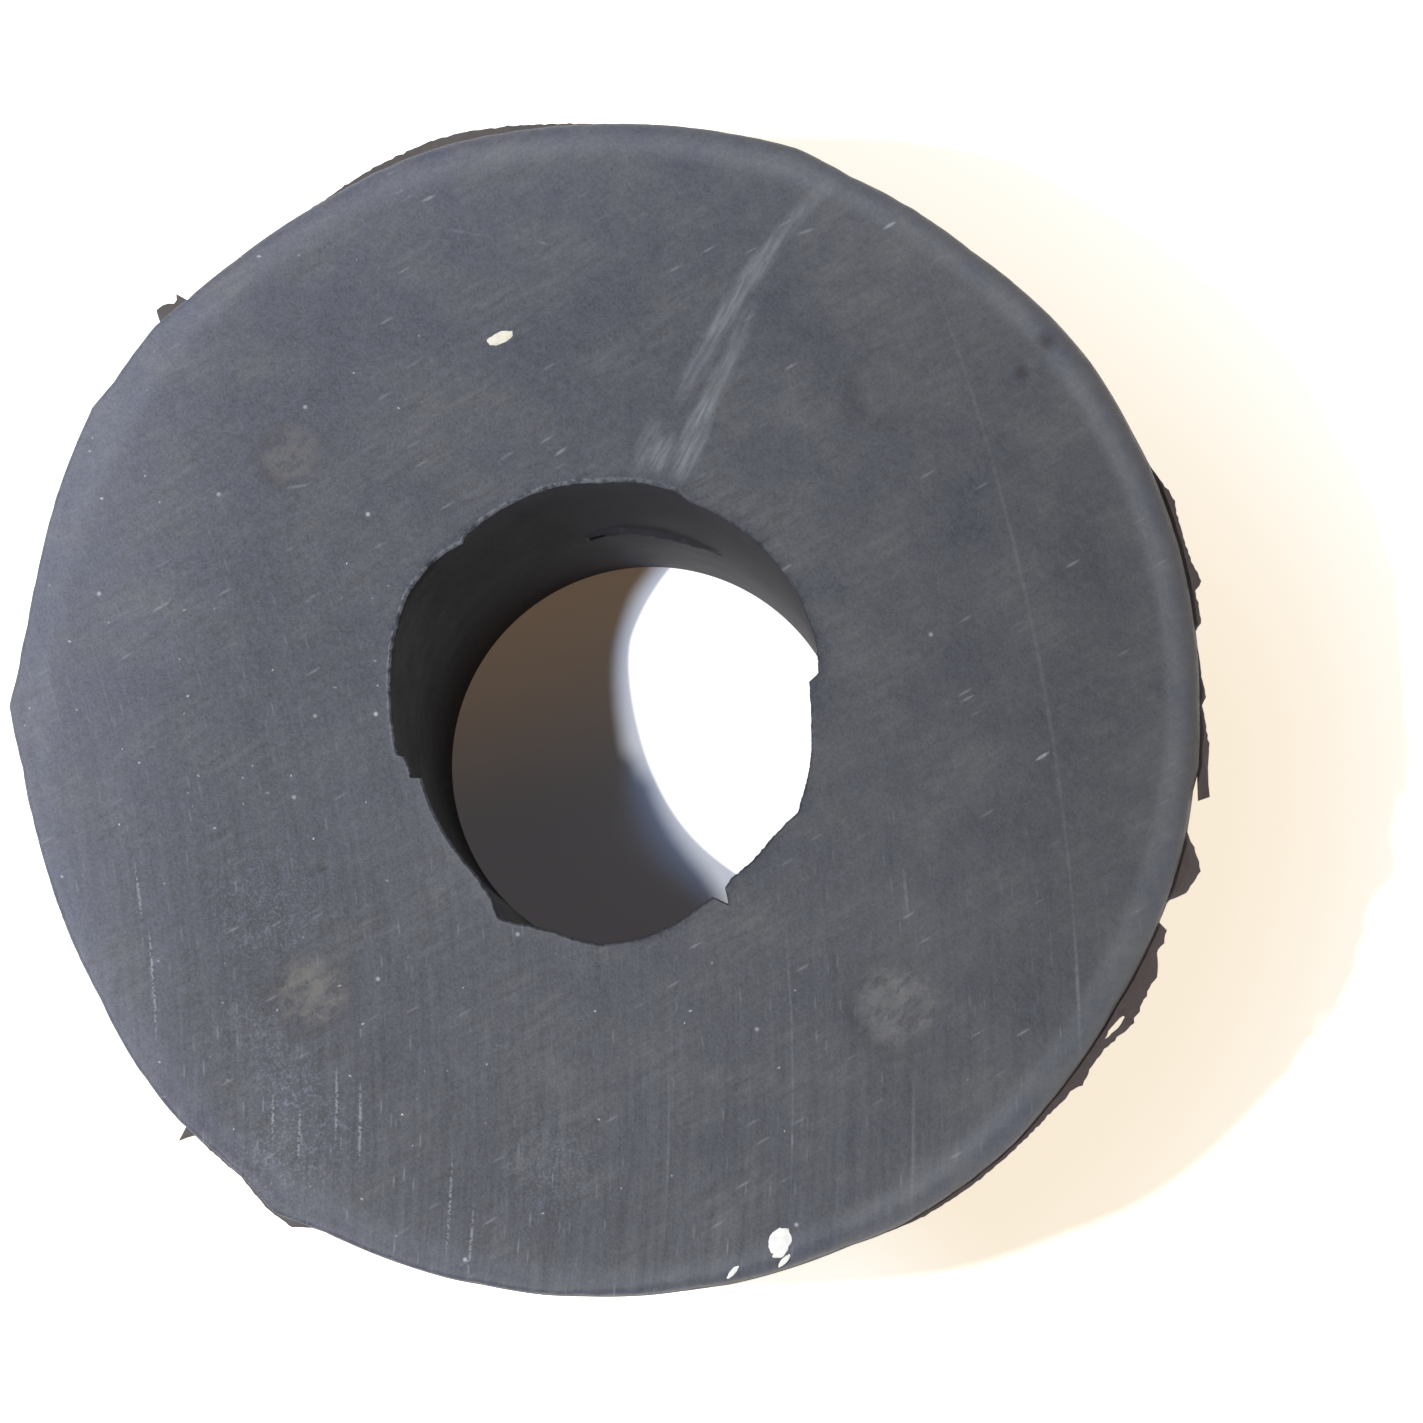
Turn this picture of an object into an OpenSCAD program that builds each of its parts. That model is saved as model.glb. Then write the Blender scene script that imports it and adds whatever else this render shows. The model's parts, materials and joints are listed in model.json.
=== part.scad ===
// Sway bar bushing: a ring moulded in one piece of black rubber.
// The origin is on the bore's axis at the lower end, and +Z points out of the upper end.

/* [Ring] */
// Outside diameter at the parting line, where the ring is widest
ring_d = 29.8; // [24:0.2:40]
// Height between the two flat ends
ring_h = 16; // [10:0.5:24]
// Draft angle of the outer wall, narrowing towards the lower end
wall_draft = 1.2; // [0:0.1:3]
// Rounding of the upper outer edge
top_round = 0.8; // [0.4:0.1:1.5]
// Rounding of the lower outer edge
foot_round = 1; // [0.4:0.1:2]

/* [Bore] */
// Diameter of the through bore
bore_d = 11; // [8:0.25:13]
// Chamfer where the bore opens at the lower end
foot_break = 0.4; // [0.1:0.1:1]
// Thickness of the tongues of flash left on the lip at the upper end of the bore
tongue_t = 0.3; // [0.1:0.05:1]
// Furthest that a tongue stands into the bore
tongue_w = 0.2; // [0:0.05:1.5]
// Furthest that a chip opens the lip past the bore's wall
chip_w = 0.5; // [0:0.05:1.5]
// How much further down a chip goes than a tongue
chip_deeper = 0.2; // [0.05:0.05:1]

/* [Seam tear in the bore] */
// Height of the tear above the lower end
tear_z = 6.2; // [2:0.1:14]
// Radius of the tear's rounded section
tear_r = 0.25; // [0.1:0.05:0.5]
// Angle round the bore at which the tear starts
tear_from = 56; // [0:1:360]
// Angle that the tear covers
tear_span = 36; // [5:1:90]

/* [Flash fringe] */
// Thickness of the flash
flash_t = 0.16; // [0.1:0.02:0.4]
// Furthest that the flash stands out from the parting line
flash_w = 0.8; // [0.2:0.1:2]

/* [Gate marks] */
// Distance of each mark's centre in from the outer wall
gate_inset = 4.4; // [3:0.1:6]
// Diameter of the shallow dish round a gate
gate_d = 2; // [1:0.1:3]
// Depth of that dish
gate_sink = 0.12; // [0.05:0.01:0.4]
// Diameter of the torn-off nub left in the dish
nub_d = 1; // [0.4:0.1:2]
// Height of that nub above the floor of the dish
nub_h = 0.07; // [0.02:0.01:0.2]

/* [Hidden] */
$fn = 96;
// How far a cutting shape passes beyond the face that it opens
cut_past = 1;
ring_r = ring_d / 2;
bore_r = bore_d / 2;
// The parting line, at the foot of the rounded upper edge
part_z = ring_h - top_round;
lip_z = ring_h - tongue_t;
chip_z = lip_z - chip_deeper;
gate_pitch_r = ring_r - gate_inset;
gate_angles = [50, 142, 224, 314];

// Where the drafted wall would meet the lower end, and the centre of the rounding there
foot_r = ring_r - part_z * tan(wall_draft);
foot_centre_r = foot_r + foot_round * tan(wall_draft) - foot_round / cos(wall_draft);

// Points round the axis, each given as [angle, share of the reach beyond radius r]
function polar(r, reach, points) =
  [for (p = points) (r + reach * p[1]) * [cos(p[0]), sin(p[0])]];

// Straight knife cuts leave corners of flash between them: one point at each end of a cut
knife_cuts = [
  [30, 0.15], [37, 0.25], [52, -0.1], [66, 0.1], [73, 0.35], [79, 0.25], [92, 0.3],
  [99, 0.55], [106, 0.7], [112, 0.6], [119, 0.35], [132, 0.25], [136, 0.4],
  [137, 0.95], [138.5, 0.9], [139, 0.55], [150, 0.65], [159, 0.35], [172, 0.25], [180, 0.55],
  [187, 0.2], [198, 0.05], [212, 0.05], [219, 0.2], [224, 0.4], [225, 0.8], [226, 0.3],
  [232, 0.2], [237, 0.6], [242, 0.25], [256, 0.05], [275, -0.1], [294, -0.1]
];

// The stretch where the flash was pulled off by hand: a ragged edge of lobes, nicks and one hook
torn_edge = [
  [300, 0.25], [308, 0.3], [319, 0.3], [322, 0.45], [325, 0.35], [330, 0.65], [334, 0.65],
  [336, 0.35], [339, 0.35], [340, -0.1], [342, 0.4], [344, 0.6], [347, 0.4], [348, 0.1],
  [352, 0.1], [353.5, 0.2], [351.7, 0.35], [352, 0.5], [355, 0.55], [358, 0.3], [360, 0.15],
  [362, 0.25], [364, 0.05], [366, 0.1], [368, 0.3], [372, 0.55], [373, 0.4], [380, 0.45],
  [385, 0.2]
];

// The bore's lip is open where a chip broke away
far_chips = [
  [20, 0.1], [28, 0.1], [36, 0.15], [44, 0.2], [53, 0.2], [62, 0.15], [68, 0.1], [73, 0.45], [84, 0.5],
  [93, 0.45], [101, 0.55], [116, 0.55], [130, 0.4], [132, 0.15], [136, 0.4], [150, 0.7], [164, 0.4],
  [171, 0.2], [178, 0.1], [185, 0.1]
];
near_chips = [
  [239, 0.4], [243, 1], [249, 0.75], [257, 0.7], [269, 1], [280, 0.8], [299, 0.15], [302, 0.75], [303, 0.1]
];

// It stands into the bore where a tongue of flash was left
left_tongue = [
  [192, 0.2], [194, 0.6], [198, 0.7], [200, 0.5], [201, 1], [206, 0.95], [212, 0.8], [219, 0.6], [226, 0.4], [233, 0.2]
];
right_tongue = [
  [306, 0.2], [313, 0.3], [321, 0.5], [327, 0.3], [332, 0.15], [342, 0.4], [348, 0.6], [354, 0.7], [360, 0.8],
  [366, 0.9], [368, 0.4], [374, 0.2]
];

module ring_section() {
  polygon([
    [0, 0],
    [foot_centre_r, 0],
    [foot_centre_r + foot_round * cos(wall_draft), foot_round * (1 - sin(wall_draft))],
    [ring_r, part_z],
    [ring_r - top_round, ring_h],
    [0, ring_h]
  ]);
  translate([foot_centre_r, foot_round]) circle(foot_round);
  translate([ring_r - top_round, part_z]) circle(top_round);
}

module flash_fringe() {
  translate([0, 0, part_z - flash_t])
    linear_extrude(flash_t)
      polygon(polar(ring_r, flash_w, concat(knife_cuts, torn_edge)));
}

module bore_cut() {
  rotate_extrude()
    polygon([
      [0, -cut_past],
      [bore_r + foot_break + cut_past, -cut_past],
      [bore_r, foot_break],
      [bore_r, lip_z],
      [0, lip_z]
    ]);
}

module lip_cut() {
  translate([0, 0, chip_z])
    linear_extrude(ring_h - chip_z + cut_past)
      polygon(concat(
        polar(bore_r, chip_w, far_chips),
        polar(bore_r, -tongue_w, left_tongue),
        polar(bore_r, chip_w, near_chips),
        polar(bore_r, -tongue_w, right_tongue)
      ));
}

module seam_tear() {
  translate([0, 0, tear_z])
    rotate([0, 0, tear_from])
      rotate_extrude(angle = tear_span)
        translate([bore_r, 0]) circle(tear_r);
}

module gate_mark() {
  difference() {
    translate([0, 0, ring_h - gate_sink]) cylinder(d = gate_d, h = gate_sink + cut_past);
    translate([0, 0, ring_h - gate_sink]) cylinder(d = nub_d, h = nub_h);
  }
}

module bushing() {
  color([0.36, 0.36, 0.39])
    difference() {
      union() {
        rotate_extrude() ring_section();
        flash_fringe();
      }
      bore_cut();
      lip_cut();
      seam_tear();
      for (a = gate_angles)
        rotate([0, 0, a]) translate([gate_pitch_r, 0, 0]) gate_mark();
    }
}

bushing();
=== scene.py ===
import json
import math

import bmesh
import bpy
from mathutils import Matrix, Vector, noise


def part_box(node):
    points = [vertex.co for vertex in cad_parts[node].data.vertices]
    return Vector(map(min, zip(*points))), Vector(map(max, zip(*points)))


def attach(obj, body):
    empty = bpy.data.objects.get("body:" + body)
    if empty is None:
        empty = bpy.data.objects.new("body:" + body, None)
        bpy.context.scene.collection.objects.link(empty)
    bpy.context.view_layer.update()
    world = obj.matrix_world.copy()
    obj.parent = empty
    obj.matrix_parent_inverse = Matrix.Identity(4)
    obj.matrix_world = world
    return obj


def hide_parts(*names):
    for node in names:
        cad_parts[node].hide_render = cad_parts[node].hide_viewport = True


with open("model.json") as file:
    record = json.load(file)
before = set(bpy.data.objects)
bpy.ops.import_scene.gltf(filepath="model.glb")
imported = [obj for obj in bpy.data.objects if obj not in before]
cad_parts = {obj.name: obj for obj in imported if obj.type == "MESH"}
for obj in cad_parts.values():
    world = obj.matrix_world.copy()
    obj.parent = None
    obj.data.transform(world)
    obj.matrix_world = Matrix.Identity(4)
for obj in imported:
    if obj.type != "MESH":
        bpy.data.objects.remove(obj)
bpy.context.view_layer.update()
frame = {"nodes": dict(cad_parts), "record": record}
mm = 0.001  # sizes below are in millimetres, Blender's are in metres
near = 0.01  # places closer than this count as one
weld = 0.001
print("frame loaded with", ", ".join(frame["nodes"]))

# Sizes that the solid already settles
boreMount = next(mount for mount in frame["record"]["mounts"] if mount["name"] == "bore")
boreRadius = boreMount["dims"]["r_mm"]
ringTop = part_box("bushing")[1][2] / mm

ring = {
    "wallRadius": 14.9,  # at the parting line
    "draft": 2.0,  # degrees, narrowing downwards
    "topRound": 0.8,
    "topRoundSteps": 7,
    "footRound": 1.0,
    "footRoundSteps": 5,
    "footBreak": 0.4,
    "lipRound": 0.15,
    "lipRoundSteps": 3,
    "flashThickness": 0.16,
    "steps": 900,  # faces round the axis
    "topGap": 0.23,  # length of a face across the upper end
    "bottomGap": 4.7,
    "wallGap": 3.0,
    "boreGap": 1.7,
    "lipZone": 1.0,  # closer faces in the bore this far down
    "lipGap": 0.13,
    "tearLow": 6.4,  # and between these heights
    "tearHigh": 8.9,
    "tearGap": 0.14,
    "smoothAngle": 38,
}
wallRadius = ring["wallRadius"]
sectionMiddle = (boreRadius + wallRadius) / 2
edgeStart = wallRadius - ring["topRound"]  # where the upper edge begins to round
partHeight = ringTop - ring["topRound"]
bandLow = partHeight - ring["flashThickness"]

# Corners that the knife left on the upper edge: angle, radius
edgeCuts = [
    (16, 15.0), (24, 15.02), (28, 15.0), (36, 15.06), (42, 15.02), (52, 14.88), (60, 14.93), (66, 14.94),
    (72, 15.14), (78, 15.08), (90, 15.04), (98, 15.06), (106, 15.12), (112, 15.1), (120, 15.02),
    (130, 15.04), (136, 15.12), (140, 15.26), (147, 15.24), (150, 15.36), (154, 15.26), (158, 15.19),
    (166, 15.04), (172, 15.02), (177, 15.14), (180, 15.3), (186, 15.02), (194, 14.89), (202, 14.85),
    (210, 14.85), (216, 14.98), (224, 15.08), (229, 15.0), (233, 15.06), (237, 15.31), (239, 15.2),
    (242, 15.06), (250, 14.99), (255, 14.96), (258, 14.91), (264, 14.91), (268, 14.87), (274, 14.86),
    (279, 14.83), (282, 14.87), (294, 14.87), (297, 14.96), (300, 15.02), (307, 15.04), (313, 15.04),
    (318, 14.96), (324, 14.9), (330, 14.86), (336, 14.9), (342, 14.92), (348, 14.93), (352, 14.9),
    (354.4, 14.98), (360, 14.94), (368, 14.96),
]

# Torn outline of the flash that hangs on below that edge: angle, radius
tornFlash = [
    (26, 15.0), (24, 15.06), (20.8, 15.27), (18, 15.2), (15, 15.2), (13.8, 15.25), (12.1, 15.36),
    (11.6, 15.14), (10.7, 15.15), (8.5, 15.16), (7.5, 14.94), (5.5, 14.99), (2.9, 15.02), (1.3, 15.12),
    (0.5, 15.0), (-1, 15.08), (-3.2, 15.2), (-4.6, 15.24), (-5.2, 15.36), (-5.7, 15.0), (-6.5, 14.92),
    (-9.5, 14.9), (-12.1, 14.96), (-13.5, 15.25), (-15.1, 15.5), (-16.1, 15.43), (-17.5, 15.33),
    (-18.3, 15.13), (-18.9, 14.95), (-21.3, 14.92), (-21.6, 15.16), (-22.8, 15.22), (-23.8, 15.14),
    (-24.6, 15.28), (-26, 15.42), (-27.4, 15.37), (-29.3, 15.4), (-30.8, 15.45), (-32.8, 15.3),
    (-34.6, 15.2), (-36.4, 15.18), (-38.5, 15.3), (-39, 15.18), (-43.4, 15.14), (-52, 15.16),
    (-58, 15.12), (-62, 15.0), (-66, 14.8), (-84, 14.8), (-117, 15.0), (-119.6, 15.16), (-121.2, 15.4),
    (-124, 15.36), (-128, 15.1), (-134.2, 15.1), (-134.7, 15.57), (-135.2, 15.1), (-148, 14.9),
    (-173, 15.0), (-180, 15.3), (-188, 15.0), (-202, 15.1), (-209.4, 15.3), (-210.1, 15.52),
    (-210.8, 15.36), (-212, 15.3), (-220.6, 15.3), (-221, 15.71), (-222.2, 15.64), (-223, 15.4),
    (-223.7, 15.62), (-224, 15.16), (-228, 15.04), (-234, 15.06), (-241, 15.16), (-246, 15.33),
    (-252, 15.44), (-256, 15.42), (-261, 15.28), (-268, 15.12), (-281, 15.08), (-308, 14.85),
]

# Outline of the lip at the top of the bore: angle, radius
lipOutline = [
    (7, 5.1), (9, 5.36), (16, 5.48), (26, 5.54), (48, 5.6), (62, 5.59), (68, 5.56), (73, 5.73),
    (83, 5.75), (93, 5.7), (96, 5.74), (109, 5.77), (124, 5.72), (130, 5.68), (132, 5.58), (136, 5.7),
    (142, 5.82), (151, 5.86), (164, 5.7), (178, 5.52), (186, 5.47), (193, 5.47), (194, 5.3), (198, 5.24),
    (200, 5.27), (201, 5.05), (210, 5.14), (218, 5.22), (226, 5.3), (233, 5.41), (239, 5.66), (243, 6.0),
    (246, 5.97), (251, 5.87), (257, 5.85), (264, 5.96), (269, 6.03), (280, 5.9), (287, 5.77), (295, 5.58),
    (299, 5.51), (301.5, 5.88), (303, 5.46), (306, 5.35), (313, 5.35), (321, 5.31), (327, 5.39),
    (331, 5.51), (334, 5.43), (342, 5.33), (349, 5.23), (354, 5.14), (363, 5.09),
]


def along(points, value):  # plain interpolation in a short list, 0 outside it
    for (startAt, startValue), (endAt, endValue) in zip(points, points[1:]):
        if startAt <= value <= endAt:
            return startValue + (endValue - startValue) * (value - startAt) / (endAt - startAt)
    return 0.0


def onOutline(points, angle):  # radius at an angle, with a steady change between neighbouring points
    turned = sorted((point[0] % 360, point[1]) for point in points)
    turned = [(turned[-1][0] - 360, turned[-1][1])] + turned + [(turned[0][0] + 360, turned[0][1])]
    return along(turned, angle)


def ease(low, high, value):  # 0 below low, 1 above high, smooth between
    share = min(max((value - low) / (high - low), 0.0), 1.0)
    return share * share * (3 - 2 * share)


def ripple(*place):  # steady noise from about -1 to 1
    return noise.noise(Vector(place))


def ragged(waves, angle):  # sum of noises round the ring, each given as height, waves to a degree, seed
    return sum(height * ripple(angle * often, seed, 0) for height, often, seed in waves)


def startEdit(piece):
    bpy.ops.object.select_all(action="DESELECT")
    piece.select_set(True)
    bpy.context.view_layer.objects.active = piece
    bpy.ops.object.mode_set(mode="EDIT")


def pick(piece, mode, test):  # selects the vertices, edges or faces whose every corner passes the test
    bpy.ops.mesh.select_mode(type=mode)
    bpy.ops.mesh.select_all(action="DESELECT")
    mesh = bmesh.from_edit_mesh(piece.data)
    parts = {"VERT": mesh.verts, "EDGE": mesh.edges, "FACE": mesh.faces}[mode]
    for part in parts:
        corners = [part] if mode == "VERT" else part.verts
        part.select_set(all(test(corner.co / mm) for corner in corners))
    bmesh.update_edit_mesh(piece.data)


def atCorner(outer, upper):  # test for one corner of the section
    return lambda co: (co.x > sectionMiddle) == outer and (co.z > ringTop / 2) == upper


def inZone(innermost, outermost, lowest, highest):  # test for a stretch of the section
    return lambda co: innermost - near < co.x < outermost + near and lowest - near < co.z < highest + near


def leanWall(piece):  # the wall narrows downwards from the parting line
    lean = math.tan(math.radians(ring["draft"]))
    for upper, shift in ((False, -partHeight * lean), (True, ring["topRound"] * lean)):
        pick(piece, "VERT", atCorner(True, upper))
        bpy.ops.transform.translate(value=(shift * mm, 0, 0))


def roundCorners(piece):
    corners = [  # outer, upper, size, steps
        (True, True, ring["topRound"], ring["topRoundSteps"]),
        (True, False, ring["footRound"], ring["footRoundSteps"]),
        (False, False, ring["footBreak"], 1),
        (False, True, ring["lipRound"], ring["lipRoundSteps"]),
    ]
    for outer, upper, size, steps in corners:
        pick(piece, "VERT", atCorner(outer, upper))
        bpy.ops.mesh.bevel(offset=size * mm, segments=steps, affect="VERTICES", clamp_overlap=False)


def cutEdges(piece, test, gap):  # splits straight stretches into edges of about the gap
    pick(piece, "EDGE", test)
    mesh = bmesh.from_edit_mesh(piece.data)
    longest = max(edge.calc_length() for edge in mesh.edges if edge.select) / mm
    cuts = max(round(longest / gap) - 1, 0)
    if cuts:
        bpy.ops.mesh.subdivide(number_cuts=cuts)


def spaceFaces(piece):  # leaves the section's outline, cut as finely as each stretch needs
    bpy.ops.mesh.select_all(action="SELECT")
    bpy.ops.mesh.delete(type="ONLY_FACE")
    lipFloor = ringTop - ring["lipZone"]
    for height in (bandLow, lipFloor, ring["tearLow"], ring["tearHigh"]):
        bpy.ops.mesh.select_all(action="SELECT")
        bpy.ops.mesh.bisect(plane_co=(0, 0, height * mm), plane_no=(0, 0, 1), threshold=weld * mm)
    zones = [  # innermost, outermost, lowest, highest, gap
        (boreRadius, wallRadius, ringTop, ringTop, ring["topGap"]),
        (boreRadius, wallRadius, 0, 0, ring["bottomGap"]),
        (boreRadius, boreRadius, lipFloor, ringTop, ring["lipGap"]),
        (boreRadius, boreRadius, ring["tearHigh"], lipFloor, ring["boreGap"]),
        (boreRadius, boreRadius, ring["tearLow"], ring["tearHigh"], ring["tearGap"]),
        (boreRadius, boreRadius, ring["footBreak"], ring["tearLow"], ring["boreGap"]),
        (sectionMiddle, wallRadius, ring["footRound"], lipFloor, ring["wallGap"]),
    ]
    for *zone, gap in zones:
        cutEdges(piece, inZone(*zone), gap)


def buildSection():  # half section of the ring as a closed line in the XZ plane
    bpy.ops.object.select_all(action="DESELECT")
    bpy.ops.mesh.primitive_plane_add(size=1, rotation=(math.pi / 2, 0, 0))
    piece = bpy.context.object
    piece.name = "moulded_ring"
    piece.scale = ((wallRadius - boreRadius) * mm, ringTop * mm, 1)
    piece.location = (sectionMiddle * mm, 0, ringTop / 2 * mm)
    bpy.ops.object.transform_apply(location=True, rotation=True, scale=True)
    startEdit(piece)
    leanWall(piece)
    roundCorners(piece)
    spaceFaces(piece)
    bpy.ops.object.mode_set(mode="OBJECT")
    return piece


def spinRing(piece):
    turned = piece.modifiers.new("turned", "SCREW")
    turned.steps = ring["steps"]
    turned.render_steps = ring["steps"]
    turned.use_merge_vertices = True
    turned.merge_threshold = weld * mm
    bpy.ops.object.modifier_apply(modifier=turned.name)
    startEdit(piece)
    bpy.ops.mesh.select_all(action="SELECT")
    bpy.ops.mesh.remove_doubles(threshold=weld * mm)
    bpy.ops.mesh.normals_make_consistent(inside=False)


relief = {
    "edgeFadeIn": 2.2,  # how far in the knife's corners show in the face
    "edgeFadeDown": (3.0, 0.3),  # and how far down on the wall: from none, to full
    "squareness": [(0, 0), (40, 0.1), (70, 0.4), (95, 0.5), (125, 0.6), (140, 0.85), (265, 0.85),
                   (285, 0.5), (305, 0.1), (360, 0)],  # angle, how square the knife left the upper edge
    "rimWave": (0.02, 0.6, 2, 9.0),  # height, waves to a degree, waves to a millimetre, seed
    "lipFadeOut": (0.05, 1.3),  # how far out the lip's outline shows in the face: to full, to none
    "lipDepth": (0.5, 0.1),  # and how far down: from none, to full
    "lipRagged": [(0.02, 0.8, 3.1), (0.012, 2.3, 7.7)],
    # the light line on the lip is wear and a painted highlight
    "lipWorn": 0.8,  # share of the lip's rounding that is worn light
    "lipSpan": 30,  # steps to each side over which the bore's wall evens the lip out
    "mouthDepth": 9.0,
    "nearSide": (235, 305),  # angles where the chips run down the wall
    "nearDepth": 15.0,
    "faceSink": 0.035,
    "faceWave": (0.0225, 0.35, 1.7),  # height, waves to a millimetre, seed
    "gates": [  # x, y, radius, dirt
        (6.95, 8.1, 0.9, 0.15), (-8.2, 6.4, 0.8, 0.4), (-7.5, -7.3, 0.95, 0.6), (7.27, -7.55, 1.15, 0.45),
    ],
    "gateDepth": 0.021,
    "gateBrim": (0.75, 1.15),  # shares of the radius where the dish ends
    "gateTorn": (0.2, 0.8),  # and where its torn middle does
    "gateWaves": 2.3,
    "pits": [  # x, y, radius, depth
        (11.03, 9.28, 0.24, 0.13), (10.45, 8.51, 0.15, 0.07), (-7.28, -4.12, 0.1, 0.04),
    ],
    "pitFloor": 0.3,
    "tear": [(65, 7.0), (74, 7.3), (84, 7.7), (92, 8.0), (98, 7.8), (103, 7.3)],  # angle, height
    "tearRagged": [(0.2, 0.35, 5.0)],
    "tearDepth": 0.5,
    "tearWidth": 0.36,
    "overhang": (0.45, 0.3, 0.35),  # height over the tear, width, share of the depth
}
stepAngle = 360 / ring["steps"]


def roundRing(points):  # an outline's radius at each step
    return [onOutline(points, step * stepAngle) for step in range(ring["steps"])]


def evened(radii, span):  # mean over the steps to each side
    steps = range(-span, span + 1)
    return [sum(radii[(at + step) % len(radii)] for step in steps) / len(steps) for at in range(len(radii))]


edgeAt = roundRing(edgeCuts)
tornAt = roundRing(tornFlash)
lipAt = roundRing(lipOutline)
mouthAt = evened(lipAt, relief["lipSpan"])


def stepOf(co):
    return round(math.degrees(math.atan2(co.y, co.x)) / stepAngle) % ring["steps"]


def edgeRelief(radius, height, step):  # brings the wall and the face out to the knife's cuts
    inward = ease(edgeStart - relief["edgeFadeIn"], edgeStart, radius)
    fadeEnd, fadeStart = relief["edgeFadeDown"]
    return (edgeAt[step] - wallRadius) * inward * ease(partHeight - fadeEnd, partHeight - fadeStart, height)


def squareRelief(radius, height, angle):  # how far the round edge goes out and up where it was cut square
    power = 1 - along(relief["squareness"], angle)
    across = min((radius - edgeStart) / ring["topRound"], 1)
    upward = max((height - partHeight) / ring["topRound"], 0)
    return [ring["topRound"] * (share ** power - share) for share in (across, upward)]


def lipRelief(radius, height, step):  # opens the bore's mouth to the torn lip
    angle = step * stepAngle
    nearSide = relief["nearSide"][0] < angle < relief["nearSide"][1]
    depth = relief["nearDepth"] if nearSide else relief["mouthDepth"]
    if height <= ringTop - depth:
        return 0.0
    fadeStart, fadeEnd = relief["lipFadeOut"]
    outward = 1 - ease(boreRadius + fadeStart, boreRadius + fadeEnd, radius)
    mouth = max((lipAt if nearSide else mouthAt)[step] - boreRadius, 0)
    lip = lipAt[step] - boreRadius + ragged(relief["lipRagged"], angle) - mouth
    lipEnd, lipStart = relief["lipDepth"]
    lipShare = ease(ringTop - lipEnd, ringTop - lipStart, height)
    return outward * (mouth * (height - ringTop + depth) / depth + lip * lipShare)


def gateRelief(x, y):  # shallow dishes with a torn middle
    drop = 0.0
    for gateX, gateY, radius, _ in relief["gates"]:
        share = math.hypot(x - gateX, y - gateY) / radius
        if share < relief["gateBrim"][1]:
            dish = 1 - ease(*relief["gateBrim"], share)
            torn = 1 - ease(*relief["gateTorn"], share)
            rough = ripple(x * relief["gateWaves"], y * relief["gateWaves"], gateX)
            drop += relief["gateDepth"] * dish * (1 - rough * torn)
    return drop


def pitRelief(x, y):
    return sum(
        depth * (1 - ease(relief["pitFloor"] * radius, radius, math.hypot(x - pitX, y - pitY)))
        for pitX, pitY, radius, depth in relief["pits"]
    )


def faceRelief(x, y):  # how far the upper end lies below its highest level
    height, often, seed = relief["faceWave"]
    wave = height * ripple(x * often, y * often, seed)
    return relief["faceSink"] + wave + gateRelief(x, y) + pitRelief(x, y)


def tearRelief(angle, height):  # groove and overhang of the seam that opened in the bore
    start, end = relief["tear"][0][0], relief["tear"][-1][0]
    if not start <= angle <= end:
        return 0.0
    away = height - along(relief["tear"], angle) - ragged(relief["tearRagged"], angle)
    groove = 1 - ease(0, relief["tearWidth"], abs(away))
    rise, width, share = relief["overhang"]
    overhang = share * (1 - ease(0, width, abs(away - rise)))
    gape = max(math.sin(math.pi * (angle - start) / (end - start)), 0) ** 0.5
    return relief["tearDepth"] * gape * (groove - overhang)


def onLipWearAndSheen(radius, height):  # on the middle of the lip's rounding
    inRound = near < radius - boreRadius < relief["lipWorn"] * ring["lipRound"]
    return inRound and height > ringTop - ring["lipRound"]


def shapeRing(piece):  # moves the even ring's vertices into its cut edge, torn lip and marked face
    mesh = bmesh.from_edit_mesh(piece.data)
    lipWear = mesh.verts.layers.float.new("lipWear")
    for vertex in mesh.verts:
        co = vertex.co / mm
        radius = math.hypot(co.x, co.y)
        step = stepOf(co)
        angle = step * stepAngle
        vertex[lipWear] = onLipWearAndSheen(radius, co.z)
        grow = edgeRelief(radius, co.z, step) + lipRelief(radius, co.z, step)
        height = co.z
        aboveParting = co.z > partHeight + near
        if radius > edgeStart + near and aboveParting:
            outward, upward = squareRelief(radius, co.z, angle)
            grow += outward
            height += upward
        if co.z > ringTop - near:
            height -= faceRelief(co.x, co.y)
        elif radius < sectionMiddle:
            grow += tearRelief(angle, co.z)
        elif aboveParting:
            size, often, oftenUp, seed = relief["rimWave"]
            grow += size * ripple(angle * often, co.z * oftenUp, seed)
        scale = (radius + grow) / radius
        vertex.co = Vector((co.x * scale, co.y * scale, min(height, ringTop))) * mm
    bmesh.update_edit_mesh(piece.data)


flash = {
    "reachSteps": (0.3, 0.55, 1.0),  # shares of the way out
    "leastReach": 0.02,
    "ragged": [(0.05, 1.7, 2.0), (0.03, 4.1, 8.0)],
    "raggedFrom": 0.2,  # reach at which the edge is fully ragged
    "thinning": 0.4,
    "droop": [(0, 0.3), (12, 0.25), (26, 0.08), (136, 0.1), (140, 0.2), (145, 0.05), (224, 0.2), (228, 0.05),
              (300, 0.1), (325, 0.35), (345, 0.45), (355, 0.35), (360, 0.3)],  # angle, how far the tip hangs
    "droopFrom": 0.5,  # reach at which it hangs that far
    "droopPower": 1.5,
    "lean": [(353.9, 0), (354.3, -3.3), (355, -2.9), (356, 0)],  # the hook bends round: angle, turn
    "leanPower": 3,
    "split": (326.4, 329.6),  # angles of the split that shows the floor
    "splitWidth": 0.13,
}


def inSplit(angle, share):
    return flash["split"][0] < angle < flash["split"][1] and share < 1


def splitShift(angle, share):  # the split is pointed at both ends
    start, end = flash["split"]
    gape = math.sin(math.pi * (angle - start) / (end - start))
    side = -1 if share < flash["reachSteps"][1] else 1
    return side * gape * flash["splitWidth"] / 2


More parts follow.
